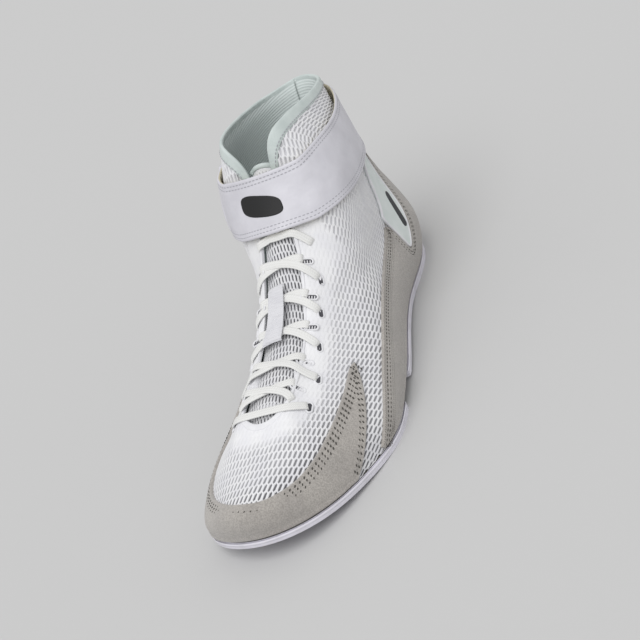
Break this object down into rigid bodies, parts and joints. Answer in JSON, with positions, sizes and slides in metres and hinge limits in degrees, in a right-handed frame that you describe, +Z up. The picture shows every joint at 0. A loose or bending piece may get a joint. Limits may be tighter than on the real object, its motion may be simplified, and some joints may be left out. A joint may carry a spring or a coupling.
{
  "type": "wrestling shoe",
  "caption": "Left high-top wrestling shoe: hollow mesh upper with suede toe and heel overlays, ankle strap, flat laces, tongue and split rubber sole.",
  "frame": {"origin": "on the floor under the middle of the heel, on the flat tread of the heel rubber", "axes": "+Z up, toe towards -Y, heel towards +Y, outer (lateral) side towards +X"},
  "size_m": [0.107, 0.2885, 0.1451],
  "materials": {
    "mesh_cloth": "open hexagonal mesh over a plain ground, fused smooth round the lacing",
    "suede": "matt synthetic suede with short nap",
    "mint_cloth": "smooth woven synthetic, faint pale mint",
    "smooth_synthetic": "smooth coated synthetic leather, satin",
    "lace_weave": "flat tubular weave",
    "rubber": "moulded white rubber, satin",
    "foam": "cloth-topped foam insole"
  },
  "bodies": {
    "root": {"upper": "mesh_cloth", "tongue": "mesh_cloth", "toe_cap": "suede", "heel_counter": "suede", "side_panel_lateral": "mint_cloth", "side_panel_medial": "mint_cloth", "collar_binding": "mint_cloth", "ankle_strap": "smooth_synthetic", "lace_keeper": "smooth_synthetic", "lace_bar": "lace_weave", "lace_cross_1": "lace_weave", "lace_cross_2": "lace_weave", "lace_cross_3": "lace_weave", "lace_cross_4": "lace_weave", "lace_cross_5": "lace_weave", "insole": "foam", "bottom_board": "suede", "outsole_heel": "rubber", "outsole_forefoot": "rubber"}
  },
  "joints": []
}
